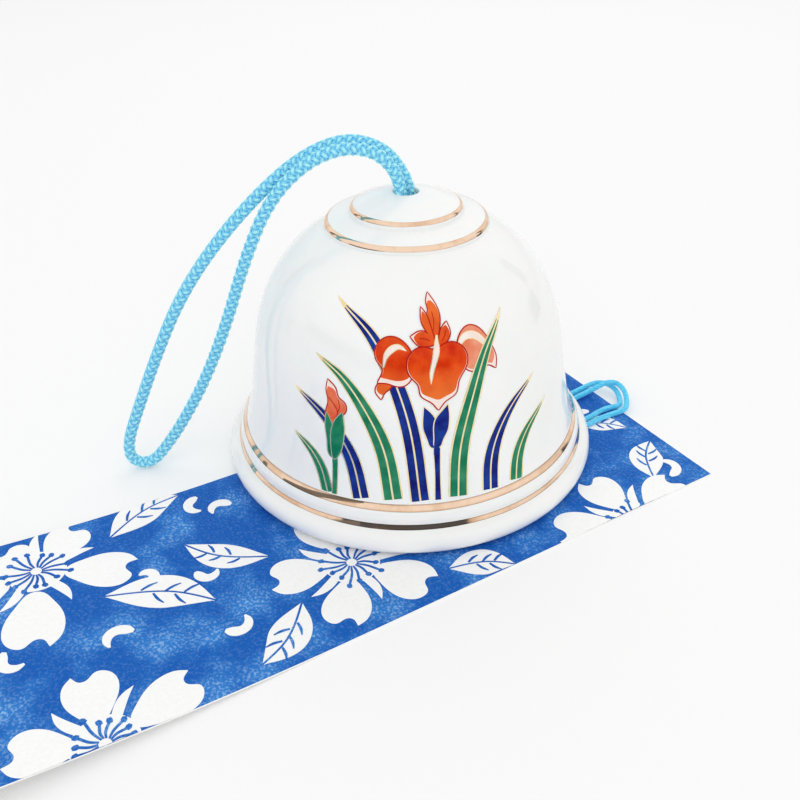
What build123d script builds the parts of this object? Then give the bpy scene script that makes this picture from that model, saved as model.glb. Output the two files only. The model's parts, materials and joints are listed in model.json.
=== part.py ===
from build123d import *
import math
import os

# A porcelain furin wind bell standing on its own paper strip, in millimetres.
# +Z is up, the bell's axis is Z, and z = 0 is the surface that the strip lies on.
# The front of the bell faces -Y. A cord's loose end and the strip lie as they were laid down.

# Paper strip
strip_length = 190.0
strip_width = 53.5
strip_thickness = 0.35
strip_bearing = 30.5          # degrees from +X to the strip's tied end
strip_flat_reach = 38.0       # flat paper past the axis, before the free end curls up
strip_curl_radius = 520.0
strip_hole_diameter = 3.0
strip_hole_setback = 19.3     # hole's centre from the tied end, midway across the strip
strip_hole_turn = -34.1       # degrees from the strip's length to its hole, seen from the bell's axis
strip_hole_clearance = 0.2    # round the knot's stem

# Bell shell, heights above the underside of the rim
rim_clearance = 0.45          # between strip and rim, where the thin cord lies squeezed flat
rim_radius = 40.0
lip_round = 2.1               # radius of the lip's underside
lip_top_radius = 37.75
lip_top_height = 4.75
bead_foot_radius = 37.05
bead_foot_height = 5.6
bead_top_radius = 36.45
bead_top_height = 8.25
bead_bulge = 0.42
groove_depth = 0.08           # hollow of the two grooves that carry gold lines
wall_foot_radius = 35.6
wall_foot_height = 9.4
waist_radius = 33.15
waist_height = 19.7
shoulder_radius = 30.0
shoulder_height = 35.0
haunch_radius = 22.8
haunch_height = 46.3
neck_radius = 16.1
neck_height = 51.1
wall_thickness = 3.0
lip_inner_radius = 35.9
lip_inner_height = 2.3

# Crown, two stacked steps and a shallow dome
lower_step_height = 0.5       # upright edge of the lower step
lower_step_round = 0.95       # its rounded edge, where a gold line runs
lower_ledge_rise = 1.0
upper_step_radius = 11.05
upper_step_height = 0.7
upper_step_round = 0.95
edge_bulge = 0.26
crown_rise = 2.2              # dome from the upper step to the mouth of the hole
crown_bulge = 0.35
crown_mouth_round = 0.3
crown_ceiling_rise = 0.5      # ceiling above the neck

# Hanging cord, a doubled round braid
cord_diameter = 2.4
strand_gap = 0.14             # between its two strands, which lie side by side
crown_hole_squeeze = 0.05     # how far the crown's hole presses each strand in
crown_hole_gap = 0.1          # pressed cord to the wall of the hole
loop_bearing = 189.8          # degrees from +X to the way that the loop flops
strand_turn = 41.5            # degrees from that way to the line through both strands in the hole
knot_radius = 4.2
knot_height = 6.0
knot_flat_radius = 2.9        # flat top and bottom of the knot
knot_gap = 0.3                # knot to the crown's ceiling

# Thin cord and what hangs on it
thin_diameter = 1.2
thin_spacing = 1.3            # between its two strands where they hang
hitch_radius = 1.9
hitch_height = 2.4
turning_gap = 0.3             # between pieces that turn against each other
swing_gap = 0.6               # hitch to the top of the swinging strands
clapper_drop = 20.5           # top of the swinging strands to the clapper
clapper_radius = 10.0
clapper_height = 11.0
clapper_face_radius = 7.6
bore_clearance = 0.35
stop_knot_radius = 2.4
stop_knot_height = 3.0
seat_gap = 0.1
cord_rest_gap = 0.02          # thin cord above the paper
rim_cord_gap = 0.1            # squeezed cord below the rim
strip_knot_radius = 1.75
strip_knot_height = 2.2
strip_knot_clearance = 0.34   # strip's knot to the lip, which hides it

os.makedirs("parts", exist_ok=True)

bell_base = strip_thickness + rim_clearance
cord_spacing = cord_diameter + strand_gap
crown_hole_radius = cord_spacing / 2 + cord_diameter / 2 - crown_hole_squeeze


def save(node, shape):
    """Write one sub-part."""
    export_step(shape, f"parts/{node}.step")


def at(radius, height):
    """A point of the bell's profile, with its height above the rim's underside."""
    return Vector(radius, 0, bell_base + height)


def turned(wire_edges):
    """Revolve a closed profile of the XZ plane about the bell's axis."""
    return revolve(make_face(Curve() + wire_edges), Axis.Z, 360)


def profile_arc(start, end, bulge):
    """An arc in the XZ plane: a hollow in a wall that is drawn upwards, or a bulge if negative."""
    chord = end - start
    left = Vector(-chord.Z, 0, chord.X).normalized()
    return ThreePointArc(start, (start + end) * 0.5 + left * bulge, end)


def barrel(radius, height, flat_radius, bottom):
    """A round knot or hitch: flat ends and a bulging side."""
    low = Vector(flat_radius, 0, bottom)
    high = Vector(flat_radius, 0, bottom + height)
    axis_low = Vector(0, 0, bottom)
    axis_high = Vector(0, 0, bottom + height)
    side = ThreePointArc(low, Vector(radius, 0, bottom + height / 2), high)
    return turned([Line(axis_low, low), side, Line(high, axis_high), Line(axis_high, axis_low)])


def cord_route(points):
    """Straight runs joined by the largest tangent arcs that the runs allow."""
    places = [Vector(*point) for point in points]
    radii = []
    for before, here, after in zip(places, places[1:], places[2:]):
        turn = math.radians((here - before).get_angle(after - here))
        shorter = min((here - before).length, (after - here).length)
        radii.append(0.45 * shorter / math.tan(turn / 2))
    return FilletPolyline(*places, radius=radii), radii


def cord_tube(name, points, diameter):
    """A round cord along its route, with its tightest bend and volume printed."""
    route, radii = cord_route(points)
    tube = sweep(Plane(route @ 0, z_dir=route % 0) * Circle(diameter / 2), path=route)
    section = math.pi * diameter**2 / 4
    print(name, "length", round(route.length, 1), "radii", [round(r, 1) for r in radii])
    print(name, "volume against section times length", round(tube.volume / (section * route.length), 4))
    return tube


# Bell shell: the outer wall from the rim up to the crown's hole, then the inner wall back down
wall = [
    at(wall_foot_radius, wall_foot_height),
    at(waist_radius, waist_height),
    at(shoulder_radius, shoulder_height),
    at(haunch_radius, haunch_height),
    at(neck_radius, neck_height),
]


def inside(index):
    """The inner wall's point behind an outer one, a wall's thickness in along the normal."""
    along = (wall[index + 1] - wall[index - 1]).normalized()
    return wall[index] + Vector(-along.Z, 0, along.X) * wall_thickness


foot = at(rim_radius - lip_round, 0)
widest = at(rim_radius, lip_round)
lip_top = at(lip_top_radius, lip_top_height)
bead_foot = at(bead_foot_radius, bead_foot_height)
bead_top = at(bead_top_radius, bead_top_height)
lower_edge = wall[-1] + Vector(0, 0, lower_step_height)
lower_rim = lower_edge + Vector(-lower_step_round, 0, lower_step_round)
upper_foot = Vector(upper_step_radius, 0, lower_rim.Z + lower_ledge_rise)
upper_edge = upper_foot + Vector(0, 0, upper_step_height)
upper_rim = upper_edge + Vector(-upper_step_round, 0, upper_step_round)
crown_mouth = Vector(crown_hole_radius + crown_mouth_round, 0, upper_rim.Z + crown_rise)
hole_top = crown_mouth - Vector(crown_mouth_round, 0, crown_mouth_round)
ceiling = at(crown_hole_radius, neck_height + crown_ceiling_rise)
lip_inner = at(lip_inner_radius, lip_inner_height)
outer_wall = Spline(*wall, tangents=[(-0.36, 0, 1), (-1, 0, 0.52)])
inner_wall = Spline(
    ceiling, inside(3), inside(2), inside(1), lip_inner, tangents=[(1, 0, -0.04), (0.42, 0, -1)]
)
bell_shell = turned([
    TangentArc(foot, widest, tangent=(1, 0, 0)),
    TangentArc(widest, lip_top, tangent=(0, 0, 1)),
    profile_arc(lip_top, bead_foot, groove_depth),
    profile_arc(bead_foot, bead_top, -bead_bulge),
    profile_arc(bead_top, wall[0], groove_depth),
    outer_wall,
    Line(wall[-1], lower_edge),
    profile_arc(lower_edge, lower_rim, -edge_bulge),
    Line(lower_rim, upper_foot),
    Line(upper_foot, upper_edge),
    profile_arc(upper_edge, upper_rim, -edge_bulge),
    profile_arc(upper_rim, crown_mouth, -crown_bulge),
    TangentArc(crown_mouth, hole_top, tangent=(-1, 0, 0)),
    Line(hole_top, ceiling),
    inner_wall,
    TangentArc(foot, lip_inner, tangent=(-1, 0, 0)),
])
save("bell_shell", bell_shell)

# Hanging cord: up one side of the hole, over to the table and back up beside itself to the other side.
# Points are the reach along the loop's way, the share of lying beside the other strand, and the height.
knot_top = ceiling.Z - knot_gap
beside = cord_spacing / 2
strand = Vector(beside, 0, 0).rotate(Axis.Z, strand_turn)
loop_out = [
    (2.2, 0.87, 62.8), (6.2, 1, 66.7), (12.2, 1, 67.7), (19.4, 0.98, 65.0), (26.4, 0.87, 58.2),
    (31.8, 0.63, 47.2), (37.2, 0.47, 33.2), (43.0, 0.31, 20.9), (49.0, 0.16, 11.1), (53.8, 0.08, 4.7),
]
loop_tip = [(56.8, 0, 1.45), (59.8, 0, 1.3), (61.6, 0, 3.5), (61.0, -0.08, 7.9)]
loop_back = [
    (57.4, -0.16, 15.8), (52.4, -0.31, 26.4), (45.8, -0.47, 39.0), (37.4, -0.63, 50.0),
    (27.6, -0.87, 59.6), (18.8, -0.98, 66.1), (10.6, -1, 68.6), (3.8, -0.98, 66.2), (0.3, -0.87, 61.4),
]
loop_rise = [strand + Vector(0, 0, height) for height in (knot_top, 57.6)]
loop_fall = [Vector(0, 0, height) - strand for height in (57.6, knot_top)]
loop_bend = [Vector(reach, share * beside, height) for reach, share, height in loop_out + loop_tip + loop_back]
loop_points = [place.rotate(Axis.Z, loop_bearing) for place in loop_rise + loop_bend + loop_fall]

# The wall of the crown's hole presses both strands in
hole_depth = crown_mouth.Z + crown_hole_gap - knot_top
hole_sides = (Align.CENTER, Align.CENTER, Align.MIN)
hole_wall = Cylinder(upper_step_radius, hole_depth, align=hole_sides)
hole_wall -= Cylinder(crown_hole_radius - crown_hole_gap, hole_depth, align=hole_sides)
hanging_loop = cord_tube("hanging_loop", loop_points, cord_diameter) - Pos(0, 0, knot_top) * hole_wall
save("hanging_loop", hanging_loop)

# Knot of the hanging cord under the crown, and the thin cord's hitch below it
knot_bottom = knot_top - knot_height
save("hanging_knot", barrel(knot_radius, knot_height, knot_flat_radius, knot_bottom))
hitch_bottom = knot_bottom - turning_gap - hitch_height
save("cord_hitch", barrel(hitch_radius, hitch_height, thin_diameter, hitch_bottom))

# Swinging strands, clapper and stop knot
pivot_height = hitch_bottom - swing_gap
clapper_top = pivot_height - clapper_drop
clapper_bottom = clapper_top - clapper_height
stop_knot_bottom = clapper_bottom - seat_gap - stop_knot_height


def hanging_strands(top, bottom):
    """The doubled thin cord, straight down beside the bell's axis."""
    strand = Cylinder(thin_diameter / 2, top - bottom, align=(Align.CENTER, Align.CENTER, Align.MAX))
    return Compound([Pos(side * thin_spacing / 2, 0, top) * strand for side in (-1, 1)])


save("clapper_cord", hanging_strands(pivot_height, stop_knot_bottom + stop_knot_height))
bore_radius = thin_spacing / 2 + thin_diameter / 2 + bore_clearance
clapper_low = Vector(clapper_face_radius, 0, clapper_bottom)
clapper_high = Vector(clapper_face_radius, 0, clapper_top)
clapper_side = Vector(clapper_radius, 0, (clapper_bottom + clapper_top) / 2)
bore_low = Vector(bore_radius, 0, clapper_bottom)
bore_high = Vector(bore_radius, 0, clapper_top)
clapper = turned([
    Line(bore_low, clapper_low),
    ThreePointArc(clapper_low, clapper_side, clapper_high),
    Line(clapper_high, bore_high),
    Line(bore_high, bore_low),
])
save("clapper", clapper)
save("clapper_knot", barrel(stop_knot_radius, stop_knot_height, bore_radius, stop_knot_bottom))

# Thin cord from the stop knot down to the strip
thin_rest = strip_thickness + cord_rest_gap + thin_diameter / 2
riser_top = stop_knot_bottom - turning_gap
riser_bottom = thin_rest + thin_diameter / 2 + turning_gap
save("cord_riser", hanging_strands(riser_top, riser_bottom))

# Thin cord on the strip: out under the rim, round a loop where the strands cross, and back under the
# rim to the strip's hole
short_strand = [
    (0.3, 1.0, thin_rest), (10.5, 5.6, thin_rest), (24.0, 8.4, thin_rest), (36.0, 12.6, thin_rest),
    (41.6, 16.6, 1.3), (45.6, 18.8, 1.9), (48.6, 18.2, 1.9), (50.2, 15.3, 1.7), (50.3, 12.0, 1.4),
    (49.9, 9.6, 1.1), (48.2, 9.4, 1.0), (45.1, 8.0, thin_rest), (41.0, 4.4, thin_rest),
    (34.75, 0.15, thin_rest),
]
long_strand = [
    (0.9, -0.7, thin_rest), (10.8, 3.9, thin_rest), (24.5, 6.7, thin_rest), (36.8, 11.0, thin_rest),
    (42.3, 14.6, 1.4), (45.5, 15.9, 2.4), (47.8, 16.6, 3.3), (50.2, 16.4, 3.3), (51.6, 14.4, 2.6),
    (51.7, 10.9, 2.0), (50.9, 7.6, 1.4), (47.8, 6.6, 1.0), (43.9, 4.5, thin_rest), (39.6, 1.2, thin_rest),
    (35.5, -1.4, thin_rest),
]
lip_centre = at(rim_radius - lip_round, lip_round)
lip_roll = Plane.XZ * Pos(lip_centre.X, lip_centre.Z) * Circle(lip_round + rim_cord_gap)
squeeze = revolve(lip_roll, Axis.Z, 360)
strands = [
    cord_tube("strip_cord_long", long_strand, thin_diameter) - squeeze,
    cord_tube("strip_cord_short", short_strand, thin_diameter) - squeeze,
]
save("strip_cord", Compound([solid for strand in strands for solid in strand.solids()]))

# Paper strip: its tie hole just inside the lip, flat under the bell, curling up towards its free end
hole_reach = lip_inner_radius - strip_knot_radius - strip_knot_clearance
hole_along = hole_reach * math.cos(math.radians(strip_hole_turn))
hole_across = hole_reach * math.sin(math.radians(strip_hole_turn))
strip_end_reach = hole_along + strip_hole_setback
strip_back_reach = hole_across + strip_width / 2
curl_turn = (strip_length - strip_end_reach - strip_flat_reach) / strip_curl_radius


def strip_edge(height):
    """Start, middle and end of the curled stretch at a height above the underside."""
    radius = strip_curl_radius - height
    places = []
    for part in (0, 0.5, 1):
        turn = curl_turn * part
        reach = -strip_flat_reach - radius * math.sin(turn)
        places.append(Vector(reach, 0, strip_curl_radius - radius * math.cos(turn)))
    return places


under = strip_edge(0)
over = strip_edge(strip_thickness)
end_low = Vector(strip_end_reach, 0, 0)
end_high = Vector(strip_end_reach, 0, strip_thickness)
strip_side = make_face(Curve() + [
    Line(end_low, under[0]),
    ThreePointArc(*under),
    Line(under[2], over[2]),
    ThreePointArc(*reversed(over)),
    Line(over[0], end_high),
    Line(end_high, end_low),
])
strip_flat = Pos(0, strip_back_reach, 0) * extrude(strip_side, strip_width, dir=(0, -1, 0))
hole_place = Pos(hole_along, hole_across, 0)
strip_flat -= hole_place * Cylinder(strip_hole_diameter / 2, 4 * strip_thickness)
paper_strip = Rot(0, 0, strip_bearing) * strip_flat
save("paper_strip", paper_strip)

# Knot that ties the thin cord into the strip's hole
knot_stem = strip_hole_diameter / 2 - strip_hole_clearance
stem = Cylinder(knot_stem, strip_thickness, align=(Align.CENTER, Align.CENTER, Align.MIN))
strip_knot = stem + barrel(strip_knot_radius, strip_knot_height, knot_stem, strip_thickness)
save("strip_knot", Rot(0, 0, strip_bearing) * hole_place * strip_knot)
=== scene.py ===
import json
import math

import bpy
import numpy as np
from mathutils import Matrix, Vector
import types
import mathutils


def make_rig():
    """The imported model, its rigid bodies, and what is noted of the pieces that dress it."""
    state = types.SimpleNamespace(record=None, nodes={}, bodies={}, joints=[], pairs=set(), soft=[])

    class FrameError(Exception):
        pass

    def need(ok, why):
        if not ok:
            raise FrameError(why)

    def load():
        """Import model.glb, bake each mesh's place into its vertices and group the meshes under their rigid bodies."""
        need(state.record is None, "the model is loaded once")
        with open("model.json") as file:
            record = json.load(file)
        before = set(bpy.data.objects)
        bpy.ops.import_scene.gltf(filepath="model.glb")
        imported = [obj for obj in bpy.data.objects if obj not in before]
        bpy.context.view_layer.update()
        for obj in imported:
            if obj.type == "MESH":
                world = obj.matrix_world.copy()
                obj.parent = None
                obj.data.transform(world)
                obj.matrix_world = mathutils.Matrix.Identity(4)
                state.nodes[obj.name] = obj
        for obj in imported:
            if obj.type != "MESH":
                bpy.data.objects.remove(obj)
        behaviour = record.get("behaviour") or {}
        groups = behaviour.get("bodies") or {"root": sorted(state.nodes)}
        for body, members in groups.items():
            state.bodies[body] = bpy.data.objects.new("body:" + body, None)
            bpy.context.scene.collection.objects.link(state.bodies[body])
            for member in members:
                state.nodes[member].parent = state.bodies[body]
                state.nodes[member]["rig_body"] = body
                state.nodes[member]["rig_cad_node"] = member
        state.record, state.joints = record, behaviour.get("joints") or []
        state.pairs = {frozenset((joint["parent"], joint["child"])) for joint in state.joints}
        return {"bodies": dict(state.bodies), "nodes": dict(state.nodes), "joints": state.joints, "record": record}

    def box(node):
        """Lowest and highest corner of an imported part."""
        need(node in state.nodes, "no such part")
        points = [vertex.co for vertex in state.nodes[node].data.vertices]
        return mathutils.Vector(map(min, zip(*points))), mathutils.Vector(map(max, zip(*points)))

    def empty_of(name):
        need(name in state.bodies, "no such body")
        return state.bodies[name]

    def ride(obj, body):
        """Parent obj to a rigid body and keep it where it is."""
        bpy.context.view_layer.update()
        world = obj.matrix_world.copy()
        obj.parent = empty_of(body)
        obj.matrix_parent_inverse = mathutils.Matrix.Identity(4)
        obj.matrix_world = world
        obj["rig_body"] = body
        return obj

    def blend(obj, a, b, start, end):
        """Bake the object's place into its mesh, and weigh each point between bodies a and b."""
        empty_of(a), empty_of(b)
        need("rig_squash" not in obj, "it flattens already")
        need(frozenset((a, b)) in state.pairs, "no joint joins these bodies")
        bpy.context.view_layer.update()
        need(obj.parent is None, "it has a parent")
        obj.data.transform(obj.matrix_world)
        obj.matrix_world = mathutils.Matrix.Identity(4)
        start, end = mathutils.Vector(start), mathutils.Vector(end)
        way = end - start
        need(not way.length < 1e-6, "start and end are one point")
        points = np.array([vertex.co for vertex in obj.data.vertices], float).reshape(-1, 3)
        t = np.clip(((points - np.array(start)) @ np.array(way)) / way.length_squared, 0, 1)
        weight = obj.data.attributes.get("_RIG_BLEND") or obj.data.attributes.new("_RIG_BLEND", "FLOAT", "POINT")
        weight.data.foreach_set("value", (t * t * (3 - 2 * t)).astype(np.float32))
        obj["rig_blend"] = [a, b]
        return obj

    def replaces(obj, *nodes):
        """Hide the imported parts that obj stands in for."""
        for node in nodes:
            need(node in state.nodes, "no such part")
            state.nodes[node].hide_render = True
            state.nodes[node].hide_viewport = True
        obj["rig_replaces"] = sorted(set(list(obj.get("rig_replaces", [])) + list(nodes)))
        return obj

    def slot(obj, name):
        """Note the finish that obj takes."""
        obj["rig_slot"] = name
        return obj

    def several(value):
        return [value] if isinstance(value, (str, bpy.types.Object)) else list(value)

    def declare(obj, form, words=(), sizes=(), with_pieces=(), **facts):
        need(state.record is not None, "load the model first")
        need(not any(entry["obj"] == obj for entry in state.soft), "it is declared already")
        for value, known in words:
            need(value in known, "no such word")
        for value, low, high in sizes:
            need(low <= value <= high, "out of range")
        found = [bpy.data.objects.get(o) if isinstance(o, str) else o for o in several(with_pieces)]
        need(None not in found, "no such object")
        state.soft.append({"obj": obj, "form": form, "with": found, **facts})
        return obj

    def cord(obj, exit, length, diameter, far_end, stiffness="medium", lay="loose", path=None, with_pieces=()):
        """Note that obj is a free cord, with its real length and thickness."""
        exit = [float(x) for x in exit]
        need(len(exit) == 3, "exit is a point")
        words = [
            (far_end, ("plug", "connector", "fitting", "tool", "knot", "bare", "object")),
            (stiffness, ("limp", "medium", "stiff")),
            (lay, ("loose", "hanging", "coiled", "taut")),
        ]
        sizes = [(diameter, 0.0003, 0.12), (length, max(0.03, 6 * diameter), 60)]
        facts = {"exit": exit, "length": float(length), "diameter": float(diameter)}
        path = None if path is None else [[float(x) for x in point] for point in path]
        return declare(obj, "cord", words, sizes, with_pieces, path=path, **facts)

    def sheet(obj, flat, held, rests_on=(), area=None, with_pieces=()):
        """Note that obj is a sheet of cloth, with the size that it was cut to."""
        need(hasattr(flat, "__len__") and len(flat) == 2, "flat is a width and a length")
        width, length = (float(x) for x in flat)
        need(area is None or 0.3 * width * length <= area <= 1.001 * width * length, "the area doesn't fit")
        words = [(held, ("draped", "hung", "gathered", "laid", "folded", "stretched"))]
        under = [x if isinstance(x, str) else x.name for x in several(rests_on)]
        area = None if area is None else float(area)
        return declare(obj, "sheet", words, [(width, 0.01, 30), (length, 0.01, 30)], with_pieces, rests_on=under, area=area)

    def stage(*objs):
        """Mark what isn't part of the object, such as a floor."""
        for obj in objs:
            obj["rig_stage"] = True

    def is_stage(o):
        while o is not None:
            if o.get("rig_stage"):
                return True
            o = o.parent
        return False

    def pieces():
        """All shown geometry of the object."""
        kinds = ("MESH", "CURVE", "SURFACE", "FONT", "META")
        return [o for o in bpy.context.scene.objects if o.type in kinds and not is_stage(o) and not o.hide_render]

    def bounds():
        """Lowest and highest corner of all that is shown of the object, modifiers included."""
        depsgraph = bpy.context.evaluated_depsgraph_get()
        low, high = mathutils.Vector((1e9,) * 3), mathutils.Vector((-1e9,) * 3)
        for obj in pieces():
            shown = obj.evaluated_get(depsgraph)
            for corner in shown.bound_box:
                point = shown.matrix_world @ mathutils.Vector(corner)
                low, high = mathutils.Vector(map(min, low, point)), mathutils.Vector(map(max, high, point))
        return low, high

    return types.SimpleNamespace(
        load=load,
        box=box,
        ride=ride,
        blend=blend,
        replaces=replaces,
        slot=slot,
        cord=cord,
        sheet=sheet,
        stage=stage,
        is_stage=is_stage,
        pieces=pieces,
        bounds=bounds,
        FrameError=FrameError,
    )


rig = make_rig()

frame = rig.load()
cad_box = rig.bounds()
MM = 0.001


# Bell shell
# Thin white porcelain, turned to one profile: a rolled lip, a bead between two grooves, a bellied
# wall and a crown of two steps with the cord's hole. Clear glaze softens its corners.
bell_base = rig.box("bell_shell")[0].z / MM
rim_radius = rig.box("bell_shell")[1].x / MM
wall_thickness = 3.0
lip_round = 2.1
lip_top, lip_inner = (37.75, 4.75), (35.9, 2.3)
bead_foot, bead_top = (37.05, 5.6), (36.45, 8.25)
wall_points = [(35.6, 9.4), (33.15, 19.7), (30.0, 35.0), (22.8, 46.3), (16.1, 51.1)]
wall_start, wall_end = (-0.36, 1), (-1, 0.52)
lower_edge, lower_rim = (16.1, 51.6), (15.15, 52.55)
upper_foot, upper_edge, upper_rim = (11.05, 53.55), (11.05, 54.25), (10.1, 55.2)
hole_radius, hole_round, hole_mouth, crown_ceiling = 2.42, 0.3, 57.4, 51.6
inner_start, inner_end = (1, -0.04), (0.42, -1)
lip_bulge, bead_bulge, step_bulge, crown_bulge, inner_lip_bulge = 0.64, 0.42, 0.26, 0.35, 0.69
quarter_bulge = 0.293  # of a quarter circle with radius 1
groove_depth = 0.08
outer_steps, inner_steps, turning_steps = 16, 12, 192
glaze_passes = 2
sharp_corner = math.radians(40)


def unit(direction):
    """A direction with length 1."""
    return np.array(direction, float) / np.linalg.norm(direction)


def bulged(start, end, bulge=0.0, spacing=0.35):
    """Points from start up to, but without, end, on an arc that bulges to the left of its chord."""
    start, end = np.array(start, float), np.array(end, float)
    half = np.linalg.norm(end - start) / 2
    shares = np.linspace(0, 1, max(3, math.ceil(2 * half / spacing)), endpoint=False)[:, None]
    if bulge == 0:
        return start + (end - start) * shares
    left = unit((start[1] - end[1], end[0] - start[0]))
    radius = (half**2 + bulge**2) / (2 * bulge)
    centre = (start + end) / 2 + left * (bulge - radius)
    turn = math.atan2(*(start - centre)[::-1]) - 4 * math.atan(bulge / half) * shares
    return centre + abs(radius) * np.hstack([np.cos(turn), np.sin(turn)])


def smooth_line(points, steps, start=None, end=None):
    """An evenly bending line through points, of any number of columns, with steps points to a span."""
    points = np.array(points, float)
    gaps = np.linalg.norm(np.diff(points, axis=0), axis=1)
    system, slopes = np.eye(len(points)), np.zeros(points.shape)
    slopes[0] = unit(points[1] - points[0] if start is None else start)
    slopes[-1] = unit(points[-1] - points[-2] if end is None else end)
    for i in range(1, len(points) - 1):
        before, after = gaps[i - 1], gaps[i]
        system[i, i - 1:i + 2] = after, 2 * (before + after), before
        rise = before * (points[i + 1] - points[i]) / after
        slopes[i] = 3 * (rise + after * (points[i] - points[i - 1]) / before)
    slopes = np.linalg.solve(system, slopes)
    line = [points[0]]
    for i, gap in enumerate(gaps):
        for t in np.linspace(0, 1, steps + 1)[1:]:
            ends = (2 * t**3 - 3 * t**2 + 1) * points[i] + (3 * t**2 - 2 * t**3) * points[i + 1]
            bend = (t**3 - 2 * t**2 + t) * slopes[i] + (t**3 - t**2) * slopes[i + 1]
            line.append(ends + gap * bend)
    return np.array(line)


def inside(index):
    """The inner wall's point behind an outer one."""
    along = unit(np.array(wall_points[index + 1]) - wall_points[index - 1])
    return np.array(wall_points[index]) + wall_thickness * np.array((-along[1], along[0]))


def skin(loops, closed):
    """Vertices and faces of closed loops in a row. The row closes on itself or has flat ends."""
    rows, count = len(loops), len(loops[0])
    vertices = [tuple(Vector(point) * MM) for loop in loops for point in loop]
    faces = []
    for i in range(rows if closed else rows - 1):
        for k in range(count):
            here, ahead = i * count, (i + 1) % rows * count
            beside = (k + 1) % count
            faces.append((here + k, ahead + k, ahead + beside, here + beside))
    if not closed:
        faces += [tuple(range(count)), tuple(range(rows * count - 1, (rows - 1) * count - 1, -1))]
    return vertices, faces


def piece(name, skins, finish, body, slot):
    """One object from one or more skins, with its finish, riding on its body."""
    vertices, faces = [], []
    for some_vertices, some_faces in skins:
        faces += [tuple(len(vertices) + corner for corner in face) for face in some_faces]
        vertices += some_vertices
    mesh = bpy.data.meshes.new(name)
    mesh.from_pydata(vertices, [], faces)
    return placed(name, mesh, finish, body, slot)


def placed(name, mesh, finish, body, slot):
    """An object for a finished mesh."""
    mesh.materials.clear()
    mesh.materials.append(finish)
    mesh.shade_smooth()
    mesh.set_sharp_from_angle(angle=sharp_corner)
    made = bpy.data.objects.new(name, mesh)
    bpy.context.scene.collection.objects.link(made)
    if body:
        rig.ride(made, body)
    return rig.slot(made, slot)


def glazed(profile):
    """A closed profile with its corners softened, as glaze rounds them."""
    for _ in range(glaze_passes):
        profile = (np.roll(profile, 1, 0) + 2 * profile + np.roll(profile, -1, 0)) / 4
    return profile


def turned(profile):
    """The skin of a closed profile of radius and height, spun about the bell's axis."""
    angles = np.linspace(0, 2 * math.pi, turning_steps, endpoint=False)
    return skin([[(r * math.cos(a), r * math.sin(a), z) for r, z in profile] for a in angles], True)


def linear(code):
    """A hex sRGB colour as linear red, green, blue and alpha."""
    shares = [int(code[i:i + 2], 16) / 255 for i in (1, 3, 5)]
    return (*[c / 12.92 if c <= 0.04045 else ((c + 0.055) / 1.055) ** 2.4 for c in shares], 1)


def add(tree, kind, inputs=(), **settings):
    """Add a node with its settings, and fill or link its inputs by name or number."""
    node = tree.nodes.new(kind)
    for name, value in settings.items():
        setattr(node, name, value)
    for key, value in dict(inputs).items():
        if isinstance(value, bpy.types.NodeSocket):
            tree.links.new(value, node.inputs[key])
        else:
            node.inputs[key].default_value = value
    return node


def finish_called(name, **sockets):
    """A new material: itself, its node tree, and its surface shader with constant sockets set."""
    made = bpy.data.materials.new(name)
    made.use_nodes = True
    shader = made.node_tree.nodes["Principled BSDF"]
    for socket, value in sockets.items():
        shader.inputs[socket.replace("_", " ")].default_value = value
    return made, made.node_tree, shader


def coloured(tree, shader, share, over, under=None):
    """Lay one colour over another, or over what the shader has, as far as a share says."""
    base = shader.inputs["Base Color"]
    below = linear(under) if under else base.links[0].from_socket
    mixed = add(tree, "ShaderNodeMix", {0: share, 6: below, 7: linear(over)}, data_type="RGBA")
    tree.links.new(mixed.outputs[2], base)


def mottled(tree, shader, size, low, high, colours, detail=3):
    """Colour the shader with soft patches of a size in millimetres, and return the patches."""
    place = add(tree, "ShaderNodeTexCoord").outputs["Object"]
    noise = add(tree, "ShaderNodeTexNoise", {"Vector": place, "Scale": 1 / (size * MM), "Detail": detail})
    patches = add(tree, "ShaderNodeMapRange", {
        "Value": noise.outputs[0], "From Min": low, "From Max": high}).outputs[0]
    coloured(tree, shader, patches, colours[1], colours[0])
    return patches


def rippled(tree, shader, size, depth):
    """Give the shader fine unevenness of a size and depth in millimetres."""
    place = add(tree, "ShaderNodeTexCoord").outputs["Object"]
    noise = add(tree, "ShaderNodeTexNoise", {"Vector": place, "Scale": 1 / (size * MM), "Detail": 2})
    bump = add(tree, "ShaderNodeBump", {"Height": noise.outputs[0], "Distance": depth * MM})
    tree.links.new(bump.outputs[0], shader.inputs["Normal"])


# Glazed porcelain is a slightly uneven white, with a hard clear gloss and a little light inside it.
porcelain, tree, shader = finish_called(
    "white porcelain, clear glaze", Roughness=0.07, IOR=1.5, Subsurface_Weight=0.12,
    Subsurface_Scale=1.5 * MM)
mottled(tree, shader, 14, 0.35, 0.65, ("#FAFAF8", "#F6F7F5"))
rippled(tree, shader, 5, 0.012)

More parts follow.
